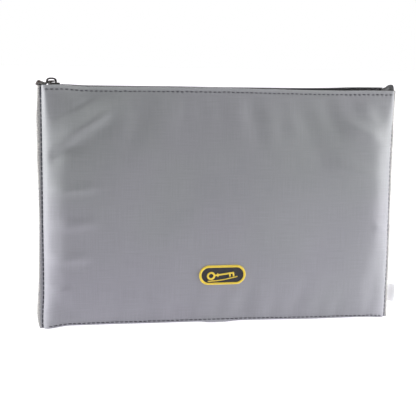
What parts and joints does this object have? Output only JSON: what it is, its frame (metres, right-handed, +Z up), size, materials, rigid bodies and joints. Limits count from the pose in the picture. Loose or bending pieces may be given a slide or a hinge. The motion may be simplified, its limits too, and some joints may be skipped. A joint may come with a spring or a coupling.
{
  "type": "zipped deposit bag",
  "caption": "Flat rectangular grey cloth deposit bag with a black zip along the top, a sewn oval badge on the front and a small white side label.",
  "frame": {"origin": "on the ground under the middle of the bag, on the flat strip it stands on", "axes": "+X along the zip away from the slider's closed end, front of the bag faces -Y, +Z up"},
  "size_m": [0.3593, 0.0337, 0.2356],
  "materials": {
    "cloth": "matt coated nylon weave",
    "lining": "smooth woven lining",
    "tape": "herringbone zip tape",
    "coil": "extruded nylon teeth",
    "metal": "black lacquered zinc casting",
    "thread": "polyester sewing thread",
    "badge_black": "twill backing",
    "badge_yellow": "satin stitch embroidery",
    "satin": "white satin ribbon"
  },
  "bodies": {
    "bag": {"back_panel": "cloth", "back_lining": "lining", "zip_tape_back": "tape", "zip_coil_back": "coil", "zip_top_stop_back": "metal", "zip_bottom_stop": "metal", "top_stitching_back": "thread", "side_stitching_back_left": "thread", "side_stitching_back_right": "thread", "care_label": "satin"},
    "front_wall": {"front_panel": "cloth", "front_lining": "lining", "zip_tape_front": "tape", "zip_coil_front": "coil", "zip_top_stop_front": "metal", "badge_backing": "badge_black", "badge_rim": "badge_yellow", "badge_motif": "badge_yellow", "top_stitching_front": "thread", "side_stitching_front_left": "thread", "side_stitching_front_right": "thread", "bottom_stitching": "thread"},
    "slider": {"slider_body": "metal"},
    "tab": {"pull_tab": "metal"}
  },
  "joints": [
    {"name": "slider_travel", "type": "slide", "parent": "bag", "child": "slider", "axis": [1, 0, 0], "range_m": [0, 0.312], "deforming": ["zip_coil_front", "zip_coil_back"]},
    {"name": "pull_tab_swing", "type": "hinge", "parent": "slider", "child": "tab", "pos_m": [-0.16, 0, 0.2323], "axis": [0, 1, 0], "range_deg": [0, 186]},
    {"name": "mouth_open", "type": "hinge", "parent": "bag", "child": "front_wall", "pos_m": [0, -0.0085, 0.001], "axis": [1, 0, 0], "range_deg": [0, 7], "deforming": ["zip_coil_front"]}
  ],
  "couplings": [
    {"joint": "mouth_open", "follows": "slider_travel", "rad_per_m": 0.39119}
  ]
}
